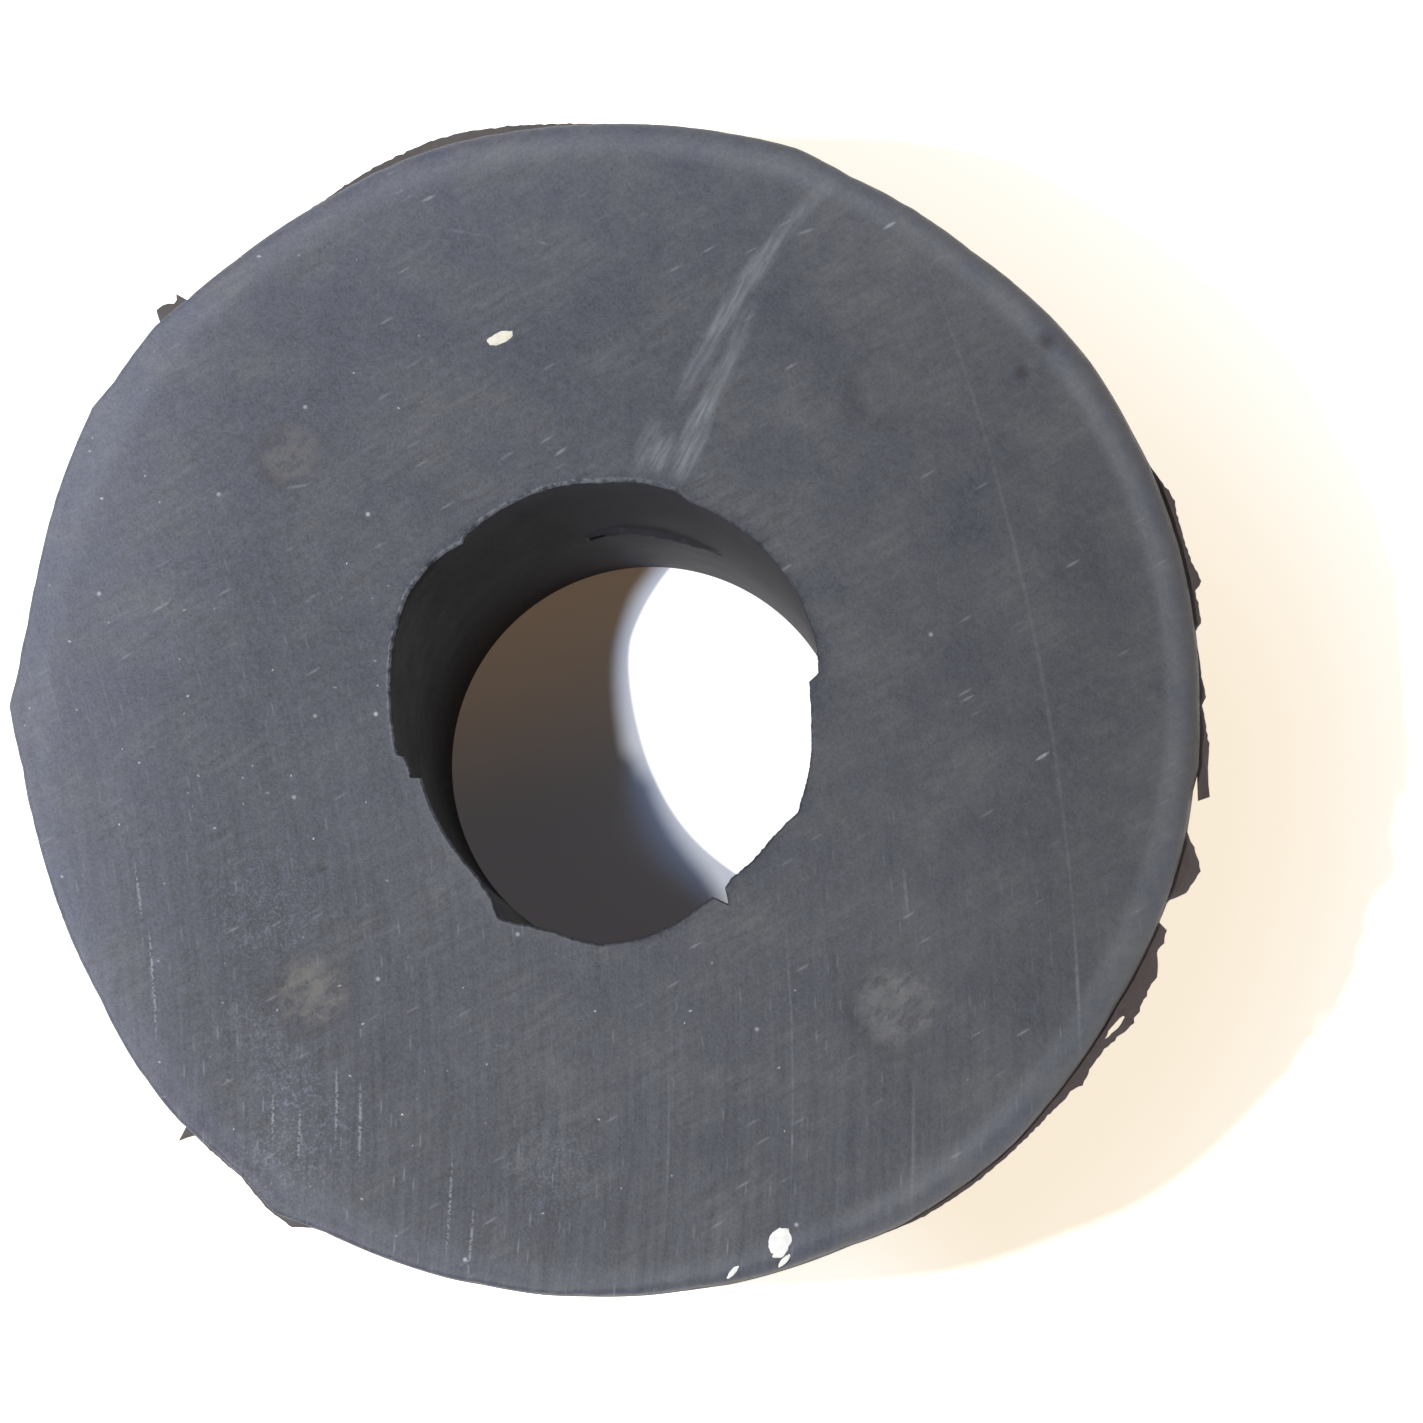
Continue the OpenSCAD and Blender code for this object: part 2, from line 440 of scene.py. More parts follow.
def flashPlace(co, share):  # where a vertex goes that lies this share of the way out
    step = stepOf(co)
    angle = step * stepAngle
    start = math.hypot(co.x, co.y)
    reach = max(tornAt[step] - start, 0)
    rough = ragged(flash["ragged"], angle) * min(reach / flash["raggedFrom"], 1)
    reach = max(reach + rough, flash["leastReach"])
    radius = start + reach * share
    if inSplit(angle, share):
        radius = start + reach / 2 + splitShift(angle, share)
    turned = math.radians(angle + along(flash["lean"], angle) * share ** flash["leanPower"])
    droop = along(flash["droop"], angle) * min(reach / flash["droopFrom"], 1) * share ** flash["droopPower"]
    middle = (bandLow + partHeight) / 2
    height = middle + (co.z - middle) * (1 - flash["thinning"] * share) - droop
    return Vector((radius * math.cos(turned), radius * math.sin(turned), height))


def pullBand(piece):  # extrudes the thin band at the parting line, noting on each vertex how far out it goes
    onBand = lambda co: bandLow - near < co.z < partHeight + near and math.hypot(co.x, co.y) > sectionMiddle
    pick(piece, "FACE", onBand)
    for share in flash["reachSteps"]:
        bpy.ops.mesh.extrude_region_move(TRANSFORM_OT_translate={"value": (0, 0, 0)})
        mesh = bmesh.from_edit_mesh(piece.data)
        reachLayer = mesh.verts.layers.float.get("reach") or mesh.verts.layers.float.new("reach")
        for vertex in mesh.verts:
            if vertex.select:
                vertex[reachLayer] = share
    return mesh, reachLayer


def openSplit(piece, mesh, besideSplit):  # takes out the faces in the split and walls its sides
    bpy.ops.mesh.select_all(action="DESELECT")
    for face in mesh.faces:
        face.select_set(all(vertex in besideSplit for vertex in face.verts))
    bmesh.update_edit_mesh(piece.data)
    bpy.ops.mesh.delete(type="FACE")
    bpy.ops.mesh.select_mode(type="EDGE")
    bpy.ops.mesh.select_all(action="DESELECT")
    bpy.ops.mesh.select_non_manifold()
    bpy.ops.mesh.bridge_edge_loops()


def growFlash(piece):  # pulls the band out into the torn fringe
    mesh, reachLayer = pullBand(piece)
    besideSplit = set()
    for vertex in mesh.verts:
        share = vertex[reachLayer]
        if share == 0:
            continue
        co = vertex.co / mm
        if inSplit(stepOf(co) * stepAngle, share):
            besideSplit.add(vertex)
        vertex.co = flashPlace(co, share) * mm
    openSplit(piece, mesh, besideSplit)


def finishRing(piece):
    bpy.ops.mesh.select_mode(type="VERT")
    bpy.ops.mesh.select_all(action="SELECT")
    bpy.ops.mesh.normals_make_consistent(inside=False)
    bpy.ops.object.mode_set(mode="OBJECT")
    bpy.ops.object.shade_smooth_by_angle(angle=math.radians(ring["smoothAngle"]))


mouldedRing = buildSection()
print("section has", len(mouldedRing.data.vertices), "points")
spinRing(mouldedRing)
shapeRing(mouldedRing)
growFlash(mouldedRing)
finishRing(mouldedRing)
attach(mouldedRing, "root")
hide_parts("bushing")
print("ring made with", len(mouldedRing.data.polygons), "faces")

crumbs = {
    "grains": [  # x, y, length, width, turn in degrees
        (-2.84, 9.43, 0.68, 0.3, 22), (4.42, -13.52, 0.76, 0.54, 72), (4.53, -13.97, 0.42, 0.14, 46),
        (3.25, -14.25, 0.45, 0.13, 50),
    ],
    "thickness": 0.05,
    "fineness": 3,
    "uneven": 0.2,
    "waves": 4,
    "seedStep": 3.7,
    "smoothAngle": 50,
}


def addCrumb(number, x, y, length, width, turn):
    bpy.ops.object.select_all(action="DESELECT")
    bpy.ops.mesh.primitive_ico_sphere_add(subdivisions=crumbs["fineness"], radius=0.5)
    grain = bpy.context.object
    grain.name = "chalk_crumb_" + str(number)
    startEdit(grain)
    mesh = bmesh.from_edit_mesh(grain.data)
    seed = Vector((number * crumbs["seedStep"], 0, 0))
    for vertex in mesh.verts:
        vertex.co *= 1 + crumbs["uneven"] * ripple(*(vertex.co * crumbs["waves"] + seed))
    bmesh.update_edit_mesh(grain.data)
    bpy.ops.object.mode_set(mode="OBJECT")
    grain.scale = (length * mm, width * mm, crumbs["thickness"] * mm)
    grain.rotation_euler = (0, 0, math.radians(turn))
    grain.location = (x * mm, y * mm, 0)
    bpy.ops.object.transform_apply(location=True, rotation=True, scale=True)
    highest = max(vertex.co.z for vertex in grain.data.vertices)
    for vertex in grain.data.vertices:
        vertex.co.z += ringTop * mm - highest
    bpy.ops.object.shade_smooth_by_angle(angle=math.radians(crumbs["smoothAngle"]))
    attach(grain, "root")
    return grain


chalkCrumbs = [addCrumb(number + 1, *grain) for number, grain in enumerate(crumbs["grains"])]
print("crumbs laid on the face:", len(chalkCrumbs))


class Wire:  # a socket that can be used in sums
    def __init__(self, bench, socket):
        self.bench = bench
        self.socket = socket

    def __add__(self, other):
        return self.bench.sum("ADD", self, other)

    def __sub__(self, other):
        return self.bench.sum("SUBTRACT", self, other)

    def __rsub__(self, other):
        return self.bench.sum("SUBTRACT", other, self)

    def __mul__(self, other):
        return self.bench.sum("MULTIPLY", self, other)

    def __abs__(self):
        return self.bench.sum("ABSOLUTE", self)

    __radd__ = __add__
    __rmul__ = __mul__

    def rise(self, start, end, most=1, least=0):  # least at the start, most at the end, smooth between
        sockets = {"Value": self, "From Min": start, "From Max": end, "To Min": least, "To Max": most}
        return self.bench.add("ShaderNodeMapRange", {"interpolation_type": "SMOOTHSTEP"}, sockets)

    def swing(self, size):  # a noise about 0.5, brought about 0
        return (self - 0.5) * size

    def limit(self):
        return self.bench.sum("ADD", self, 0, clamp=True)


class Bench:  # adds the nodes of one material
    def __init__(self, owner):
        owner.use_nodes = True
        self.tree = owner.node_tree
        self.tree.nodes.clear()

    def add(self, kind, settings=None, sockets=None, output=0):
        node = self.tree.nodes.new(kind)
        for name, value in (settings or {}).items():
            setattr(node, name, value)
        for name, value in (sockets or {}).items():
            if isinstance(value, Wire):
                self.tree.links.new(value.socket, node.inputs[name])
            else:
                node.inputs[name].default_value = value
        return Wire(self, node.outputs[output]) if node.outputs else None

    def sum(self, operation, *values, clamp=False):
        settings = {"operation": operation, "use_clamp": clamp}
        return self.add("ShaderNodeMath", settings, dict(enumerate(values)))

    def blend(self, share, first, second, mode="MIX"):
        settings = {"data_type": "RGBA", "blend_type": mode}
        return self.add("ShaderNodeMix", settings, {0: share, 6: first, 7: second}, output=2)

    def between(self, share, first, second):  # blends two plain colours
        return self.blend(share, (*first, 1), (*second, 1))

    def tint(self, share, colour, target):
        return self.blend(share, colour, (*target, 1))

    def shade(self, colour, tone):
        return self.blend(1, colour, self.join(tone, tone, tone), "MULTIPLY")

    def join(self, x, y, z):
        return self.add("ShaderNodeCombineXYZ", None, {0: x, 1: y, 2: z})

    def split(self, place):
        first = self.add("ShaderNodeSeparateXYZ", None, {0: place})
        return [Wire(self, socket) for socket in first.socket.node.outputs]

    def millimetres(self):  # the piece's own coordinates
        place = self.add("ShaderNodeTexCoord", output="Object")
        return self.add("ShaderNodeVectorMath", {"operation": "SCALE"}, {0: place, "Scale": 1 / mm})

    def cloud(self, place, scale, detail=2, roughness=0.5, flat=False):  # noise about 0.5
        settings = {"noise_dimensions": "2D" if flat else "3D"}
        sockets = {"Vector": place, "Scale": scale, "Detail": detail, "Roughness": roughness}
        return self.add("ShaderNodeTexNoise", settings, sockets)

    def grain(self, first, second, often, detail, roughness):  # flat noise, stretched
        return self.cloud(self.join(first * often[0], second * often[1], 0), 1, detail, roughness, flat=True)

    def cells(self, first, second, often):  # distance to the nearest random point, and two numbers of its own
        settings = {"voronoi_dimensions": "2D"}
        sockets = {"Vector": self.join(first * often[0], second * often[1], 0), "Scale": 1}
        away = self.add("ShaderNodeTexVoronoi", settings, sockets, output="Distance")
        colour = Wire(self, away.socket.node.outputs["Color"])
        number = self.add("ShaderNodeSeparateColor", None, {"Color": colour})
        return away, number, Wire(self, number.socket.node.outputs[1])

    # In what follows, place holds two coordinates and 1

    def level(self, place, slopes):  # a plane's height: slope along each coordinate, height at the origin
        settings = {"operation": "DOT_PRODUCT"}
        return self.add("ShaderNodeVectorMath", settings, {0: place, 1: slopes}, output="Value")

    def away(self, place, x, y):  # distance from a point
        settings = {"operation": "DISTANCE"}
        return self.add("ShaderNodeVectorMath", settings, {0: place, 1: (x, y, 1)}, output="Value")

    def disc(self, place, x, y, radius, strength):  # soft round spot
        return self.away(place, x, y).rise(radius, 0, strength)

    def mark(self, place, x, y, length, width, turn, strength):  # soft oval
        run, climb = math.cos(math.radians(turn)), math.sin(math.radians(turn))
        lengthwise = self.level(place, (run / length, climb / length, -(x * run + y * climb) / length))
        across = self.level(place, (-climb / width, run / width, (x * climb - y * run) / width))
        away = self.sum("MULTIPLY_ADD", across, across, lengthwise * lengthwise)
        return away.rise(1, 0, strength)


rubber = {
    "boreBlack": (0.01, 0.0098, 0.012),
    # the bore's wall on its lit side, painted lighter
    "boreGrey": (0.058, 0.056, 0.07),
    # painted shade in the tear's groove
    "tearBlack": (0.003, 0.003, 0.004),
    "wallBlack": (0.028, 0.0185, 0.016),
    "bloomBlue": (0.0665, 0.0725, 0.0985),
    "bloomNeutral": (0.083, 0.0845, 0.087),
    "rimBrown": (0.06, 0.048, 0.046),
    # painted light on the flash: darker on the right, away from the lamp, lighter on the left
    "flashDark": (0.09, 0.071, 0.069),
    "flashGrey": (0.12, 0.108, 0.108),
    # light colour of the marks, and of the lip's line of wear and painted highlight
    "dust": (0.3, 0.32, 0.36),
    "chalk": (0.36, 0.42, 0.52),
    "earth": (0.17, 0.16, 0.142),
    "tornGrey": (0.168, 0.165, 0.168),
    # white of the painted glints and of the listed light dots
    "speck": (0.62, 0.64, 0.68),
    "roughness": 0.55,
    "roughnessSwing": 0.2,
    "boreRougher": 0.12,
    "specular": 0.3,
    "bumpStrength": 0.3,
    "bumpDepth": 0.03,
    "patches": (0.6, 4, 0.62),  # noise: scale, detail, roughness
    "fine": (4.5, 3, 0.65),
    "dustGrain": (17, 1, 0.6),
}

# Where each surface begins
borders = {
    "bore": (8, 7),  # radii
    "face": (0.24, 0.79),  # heights over the parting line
    "leftEdge": (6, -8, 0.36),  # the face begins lower at the squarer edge: from x, to x, how much
    "rightEdge": (0, 8, 0.2),  # and at the tighter one, in the range of y below
    "frontEdge": (-1, -5),
    "lip": (0.14, 0.07),  # depths below the upper end
    "edgeBand": (2.6, 0.7),  # distances in from the wall
    "edgeWear": (1.0, 0.35),
    "flash": (-0.8, -0.6),  # heights over the parting line
    "rim": (0, 0.12),
    "tearBack": (3, 4.5),  # y
}

# Tone of the bloom, with painted light along x: lighter to the left, towards the lamp, darker to the right. A
# plane is given as its slope along x, its slope along y and its value at the axis
bloom = {
    "neutral": (0.015, 0, 0.31),
    "neutralPatches": 1.6,
    "neutralEdge": 0.1,
    # painted light: the tone falls off to the right, away from the lamp
    "tone": (-0.008, 0, 0.98),
    "grainShow": (-0.025, 0, 0.75),
    "fineSwing": 1.1,
    "dustSwing": 1.2,
    # of these slopes, those along x alone are painted light: lighter at the far left, towards the lamp,
    # darker at the far right
    "slopes": [  # direction x, y, from, to, change
        (1, 1, -8, -16, -0.1), (1, 0, -9, -14, 0.48), (1, 0, 9, 13, -0.09), (0, 1, 0, 13, 0.13),
        (0, 1, 9, 14, 0.12), (-1, 1, 8, 20, 0.12),
    ],
    "edgeBand": 0.12,
    # wear, and a painted highlight that grows towards the right
    "edgeWear": (2, 13, 0.85, 0.45),  # from x, to x, most, least
}

# Fine lines that a brush and a saw left
brush = {
    "turn": 30,
    "grain": ((0.6, 5), 3, 0.65),  # waves along and across, detail, roughness
    "sway": 0.4,
    "shown": (0.42, 0.62, 0.9, 0.2),  # level of the patches, from and to, most, least
    "weaker": (1, 9, 0.55, 1),  # the same along x
}
saw = {
    "centre": (-48.9, -10.2),  # the arcs run round this point
    "grain": ((4, 0.25), 4, 0.75),
    "shown": (-0.025, -0.05, 0.3),  # a plane
    "strength": 1.1,
}

# Scattered light marks: cells to a millimetre, size in cells and strength, numbers that are picked
dash = {"often": (1, 5.5), "size": (0.28, 0.05, 0.4), "picked": (0.92, 0.94)}
line = {"often": (8, 1.1), "size": (0.3, 0.06, 0.4), "picked": (0.86, 0.9)}
# the sparks are painted glints, rarer to the right and back, away from the lamp
glint = {"often": (3, 3), "size": (0.12, 0.03), "picked": (0.003, 0.0015, 0.98), "margin": 0.01}
glintSway = 4 / 3

# Marks in their places
nicks = [  # x, y, length, turn in degrees, strength
    (10.98, -1.27, 0.247, 33, 0.7), (7.09, 12.3, 0.234, 30, 0.7), (-4.7, 13.05, 0.247, 25, 0.5),
    (-5.46, 13.23, 0.1625, 30, 0.3), (-1.7, 11.86, 0.26, -15, 0.25), (4.95, 12.15, 0.325, 20, 0.28),
    (-3.7, 12.15, 0.975, -10, 0.13), (-11.43, 2.54, 0.2925, 30, 0.5), (-7.57, 2.77, 0.26, 35, 0.4),
    (-7.97, 5.63, 0.39, 8, 0.3), (-1.26, 6.51, 0.26, 35, 0.4), (4.61, 8.7, 0.234, 32, 0.35),
    (4.46, 3.51, 0.26, 30, 0.3),
]
dots = [  # x, y, strength
    (-10, 5.43, 0.6), (-6.17, 4.91, 0.9), (-7.81, 7.67, 0.6), (-13.03, 2.88, 0.8), (-5.91, -0.2, 0.9),
    (-7.46, -0.25, 0.5), (-7.97, -2.32, 0.6), (-5.78, -6.93, 0.7), (-2.25, -5.79, 0.6),
    (-3.5, -13.98, 0.9), (3.81, -8.17, 0.5), (4.83, -13.07, 0.7), (8.16, 1.82, 0.5),
]
sawLines = [  # a point on the line, its lowest and highest y, width, strength
    (7.88, 11.7, -11.5, 14.5, 0.0675, 0.1), (11.92, -8.57, -9.6, -5.0, 0.06, 0.2),
    (4.72, -10.0, -13.4, -4.6, 0.045, 0.16), (7.7, -12.69, -13.0, -9.0, 0.0525, 0.18),
    (7.56, -4.9, -5.7, -3.9, 0.06, 0.2), (1.6, -11.0, -14.0, -8.5, 0.045, 0.14),
    (-12.8, 0.2, -1.6, 2.2, 0.045, 0.14), (-14.15, 0.2, -1.6, 2.0, 0.045, 0.14),
]
streaks = [  # rows of bright dots: a point on the row, its lowest and highest y, strength
    (-11.49, -7.0, -8.8, -5.3, 0.6), (-11.89, -4.8, -5.8, -3.8, 0.45), (-6.79, -10.1, -11.3, -8.9, 0.5),
    (-6.19, -10.5, -11.8, -9.3, 0.55), (-3.9, -12.6, -14.2, -11.0, 0.45), (-8.4, -10.4, -11.3, -9.6, 0.5),
    (-7.73, -10.8, -11.8, -9.9, 0.5), (-3.36, -13.6, -14.8, -12.4, 0.45),
]
scuffs = [  # start x, y, end x, y, width, strength
    (5.6, 13.45, 4.76, 12.6, 0.32, 0.1), (4.76, 12.6, 4.06, 11.75, 0.32, 0.16),
    (4.06, 11.75, 3.2, 10.5, 0.352, 0.22), (3.2, 10.5, 2.68, 9.6, 0.352, 0.24),
    (2.68, 9.6, 1.9, 8.1, 0.352, 0.16), (3.55, 10.1, 3.05, 8.9, 0.32, 0.13),
    (3.05, 8.9, 2.4, 7.6, 0.352, 0.18), (2.4, 7.6, 1.85, 6.1, 0.416, 0.3),
    (1.5, 6.8, 1.2, 6.1, 0.32, 0.22), (1.1, 7.1, 0.8, 6.1, 0.416, 0.15),
]
tearShades = [  # in the tear: x, height, length, width, turn, strength
    (1.07, 7.5, 1.5, 0.3, -22, 0.7), (-0.7, 7.7, 0.7, 0.3, 34, 0.7),
]
chalkSpots = [  # x, y, radius, strength
    (-8.7, -5.2, 2.2, 0.3), (-8.87, -8.2, 1.4, 0.3), (-8.1, -9.6, 1.4, 0.45), (-8.6, -11.8, 1.8, 0.4),
    (-1.3, -11.6, 1.8, 0.3), (-7.2, -11.0, 2.0, 0.3),
]
marks = {
    "nickWidth": 0.055,
    "nickBroken": (0.25, 0.55, 1.2),  # level of the noise that breaks a mark up, from and to, most, least
    "dotRadius": 0.085,
    "sparkStrength": 0.8,
    "sawBroken": (0.3, 0.62, 1, 0.4),
    "streakWidth": 0.05,
    "streakBroken": (0.4, 0.56, 1.3),
    "scuffTurn": 62,
    "scuffLength": 0.9,  # neighbouring stretches overlap
    "scuffGrain": ((0.9, 9), 3, 0.6),
    "scuffBroken": (0.3, 0.7, 1.7, 0.6),
    "chalkGrain": (0.6, 0.4),
    "chalkBroken": (0.5, 0.66, 0.4),
    "chalkHaze": (0.35, 0.7, 0.08),
    "lipBroken": (0.38, 0.62),
    # the lip's line of wear and painted highlight, stronger to the upper left
    "lipSide": (2, 7, 0.51, 0.06),
}

# Gate marks and pits
gateLooks = {
    "ragged": 0.7,
    "middle": (1.2, 0.55),  # shares of the radius where the dirt ends
    "rim": (0.35, 0.05, 0.12),  # widths and strength
    "greySide": (-2, 2),
    "torn": ((1.5, 3), 3, 0.7),
    "tornSway": (1 / 1.5, 0.5),
    "tornLight": (0.38, 0.66, 1.15, 0.2),
    "tornDark": (0.45, 0.36, 0.5),
    "pitSize": 1.8,
    # painted shade in the pits: at least, and more with the depth
    "pitDark": (0.25, 2.6),  # at least, and more with the depth
}

# Tone of the clean moulded black
moulded = {
    "fineSwing": 0.5,
    "patchSwing": 0.4,
    # x between which the flash turns from its painted shade to its painted light
    "flashSide": (9, 0),
    "boreLight": (1, 0.7, 0),  # a plane that rises to the lit side of the bore
    "boreSide": (-5, 4),
}


def turnedPlace(x, y, degrees):  # distances along and across a direction
    turn = math.radians(degrees)
    return x * math.cos(turn) + y * math.sin(turn), y * math.cos(turn) - x * math.sin(turn)


class RubberBench(Bench):  # the rubber's places and noises, and its layers of colour
    def __init__(self, owner):
        super().__init__(owner)
        self.point = self.millimetres()
        self.x, self.y, self.z = self.split(self.point)
        self.onFace = self.join(self.x, self.y, 1)
        self.radius = self.away(self.onFace, 0, 0)
        self.nearBore = self.radius.rise(*borders["bore"])
        self.patches = self.cloud(self.point, *rubber["patches"])
        self.fine = self.cloud(self.point, *rubber["fine"])
        self.dustGrain = self.cloud(self.point, *rubber["dustGrain"])
        self.brushAlong, self.brushAcross = turnedPlace(self.x, self.y, brush["turn"])
        self.sawRadius = self.away(self.onFace, *saw["centre"])
        self.onArcs = self.join(self.sawRadius, self.y, 1)
        self.sawShow = self.level(self.onFace, saw["shown"]).limit()

    def faceShare(self):  # 1 on the upper end
        rightEdge = self.x.rise(*borders["rightEdge"]) * self.y.rise(*borders["frontEdge"])
        edge = self.z + self.x.rise(*borders["leftEdge"]) + rightEdge
        low, high = borders["face"]
        atEdge = edge.rise(partHeight + low, partHeight + high)
        lowLip, highLip = borders["lip"]
        return atEdge + self.nearBore * (self.z.rise(ringTop - lowLip, ringTop - highLip) - atEdge)

    def fromWall(self, distances):
        return self.radius.rise(*(wallRadius - distance for distance in distances))

    # besides the bloom, the tone holds painted light: lighter to the left, towards the lamp, darker to the
    # right
    def bloomAndPaintedLight(self):  # grey bloom in soft patches, bluer inside and more neutral near the edge
        edgeBand = self.fromWall(borders["edgeBand"])
        neutral = self.level(self.onFace, bloom["neutral"]) + edgeBand * bloom["neutralEdge"]
        neutral = (neutral + self.patches.swing(bloom["neutralPatches"])).limit()
        grain = self.fine.swing(bloom["fineSwing"]) + self.dustGrain.swing(bloom["dustSwing"])
        tone = self.level(self.onFace, bloom["tone"]) + self.patches.swing(1)
        tone = tone + grain * self.level(self.onFace, bloom["grainShow"])
        for run, climb, start, end, change in bloom["slopes"]:
            tone = tone + self.level(self.onFace, (run, climb, 0)).rise(start, end, change)
        # lighter near the edge: wear, and a painted highlight that is stronger to the right
        edgeWear = self.fromWall(borders["edgeWear"]) * self.x.rise(*bloom["edgeWear"])
        tone = tone + edgeBand * bloom["edgeBand"] + edgeWear
        colour = self.between(neutral, rubber["bloomBlue"], rubber["bloomNeutral"])
        return self.shade(colour, tone + self.brushed() + self.sawn())

    def brushed(self):
        grain = self.grain(self.brushAlong, self.brushAcross + self.patches * brush["sway"], *brush["grain"])
        return grain.swing(1) * self.patches.rise(*brush["shown"]) * self.x.rise(*brush["weaker"])

    def sawn(self):
        return self.grain(self.sawRadius, self.y, *saw["grain"]).swing(saw["strength"]) * self.sawShow

    def dashes(self):  # short light lines along the brush marks and the arcs
        dashAway, dashPick, dashTone = self.cells(self.brushAlong, self.brushAcross, dash["often"])
        dashed = dashAway.rise(*dash["size"]) * dashPick.rise(*dash["picked"]) * dashTone * dashTone
        lineAway, linePick, lineTone = self.cells(self.sawRadius, self.y, line["often"])
        lined = lineAway.rise(*line["size"]) * linePick.rise(*line["picked"]) * lineTone * self.sawShow
        return dashed + lined

    def glintsAndSpecks(self):
        # painted glints, rarer to the right, and the listed light dots
        away, chance, tone = self.cells(self.x + self.patches * glintSway, self.y, glint["often"])
        needed = self.level(self.onFace, glint["picked"])
        scattered = away.rise(*glint["size"]) * (chance - needed).rise(0, glint["margin"]) * tone
        placed = sum(self.disc(self.onFace, x, y, marks["dotRadius"], strength) for x, y, strength in dots)
        return ((scattered + placed) * marks["sparkStrength"]).limit()

    def nicked(self):
        width = marks["nickWidth"]
        lit = sum(self.mark(self.onFace, *place, width, turn, strength) for *place, turn, strength in nicks)
        return lit * self.fine.rise(*marks["nickBroken"])

    def arcMark(self, x, y, lowest, highest, width, strength):  # thin line along one of the saw's arcs
        lineRadius = math.dist((x, y), saw["centre"])
        middle, half = (lowest + highest) / 2, (highest - lowest) / 2
        return self.mark(self.onArcs, lineRadius, middle, width, half, 0, strength)

    def scratched(self):  # long lines and rows of dots
        lines = sum(self.arcMark(*sawLine) for sawLine in sawLines)
        rows = sum(self.arcMark(*place, marks["streakWidth"], strength) for *place, strength in streaks)
        lines = lines * self.fine.rise(*marks["sawBroken"])
        return lines + rows * self.dustGrain.rise(*marks["streakBroken"])

    def scuffMark(self, startX, startY, endX, endY, width, strength):
        length = math.hypot(endX - startX, endY - startY)
        turn = math.degrees(math.atan2(endY - startY, endX - startX))
        middle = ((startX + endX) / 2, (startY + endY) / 2)
        return self.mark(self.onFace, *middle, length * marks["scuffLength"], width, turn, strength)

    def scuffed(self):  # two scuffs beside the bore, broken up along their length
        grain = self.grain(*turnedPlace(self.x, self.y, marks["scuffTurn"]), *marks["scuffGrain"])
        return sum(self.scuffMark(*scuff) for scuff in scuffs) * grain.rise(*marks["scuffBroken"])

    def chalky(self):
        spots = sum(self.disc(self.onFace, *spot) for spot in chalkSpots)
        dustShare, fineShare = marks["chalkGrain"]
        grain = self.dustGrain * dustShare + self.fine * fineShare
        return spots * (grain.rise(*marks["chalkBroken"]) + self.fine.rise(*marks["chalkHaze"]))

    def marked(self, colour):
        light = (self.dashes() + self.nicked() + self.scratched() + self.scuffed()).limit()
        colour = self.tint(light, colour, rubber["dust"])
        colour = self.tint(self.glintsAndSpecks(), colour, rubber["speck"])
        return self.tint(self.chalky(), colour, rubber["chalk"])

    def gated(self, colour):  # rough dirty middles with a darker rim, and the pits
        earth = 0.0
        rim = 0.0
        wander = self.fine.swing(gateLooks["ragged"])
        for x, y, radius, dirt in relief["gates"]:
            away = self.away(self.onFace, x, y) + wander
            earth = earth + away.rise(*(share * radius for share in gateLooks["middle"]), dirt)
            rim = rim + abs(away - radius).rise(*gateLooks["rim"])
        swayAlong, swayAcross = gateLooks["tornSway"]
        tornAlong = self.brushAlong + self.fine * swayAlong
        torn = self.grain(tornAlong, self.brushAcross + self.fine * swayAcross, *gateLooks["torn"])
        dirtColour = self.between(self.x.rise(*gateLooks["greySide"]), rubber["earth"], rubber["tornGrey"])
        colour = self.blend(earth * torn.rise(*gateLooks["tornLight"]), colour, dirtColour)
        dark = rim + earth * torn.rise(*gateLooks["tornDark"])
        # painted shade in the pits, darker the deeper they are
        least, more = gateLooks["pitDark"]
        for x, y, radius, depth in relief["pits"]:
            dark = dark + self.disc(self.onFace, x, y, radius * gateLooks["pitSize"], least + depth * more)
        return self.tint(dark.limit(), colour, rubber["wallBlack"])

    def overParting(self, heights):
        return self.z.rise(*(partHeight + height for height in heights))

    def cleanBlack(self):  # the wall, the bore and the flash
        # painted light on the flash: lighter on the left, towards the lamp, darker on the right
        fringe = self.between(self.x.rise(*moulded["flashSide"]), rubber["flashDark"], rubber["flashGrey"])
        outer = self.blend(self.overParting(borders["flash"]), (*rubber["wallBlack"], 1), fringe)
        outer = self.tint(self.overParting(borders["rim"]), outer, rubber["rimBrown"])
        # painted light: the bore's wall is lighter on its lit side
        litSide = self.level(self.onFace, moulded["boreLight"]).rise(*moulded["boreSide"])
        inner = self.between(litSide, rubber["boreBlack"], rubber["boreGrey"])
        tone = 1 + self.fine.swing(moulded["fineSwing"]) + self.patches.swing(moulded["patchSwing"])
        colour = self.shade(self.blend(self.nearBore, outer, inner), tone)
        upright = self.join(self.x, self.z, 1)
        # painted shade in the tear's groove
        torn = sum(self.mark(upright, *shade) for shade in tearShades)
        torn = (torn * self.y.rise(*borders["tearBack"]) * self.nearBore).limit()
        return self.tint(torn, colour, rubber["tearBlack"])

    # light line on the lip's rounding: wear and a painted highlight, stronger to the upper left
    def lipWearAndSheen(self, colour):
        lipWear = self.add("ShaderNodeAttribute", {"attribute_name": "lipWear"}, output="Fac")
        strength = (self.y - self.x).rise(*marks["lipSide"]) * self.fine.rise(*marks["lipBroken"])
        return self.tint(lipWear * strength, colour, rubber["dust"])


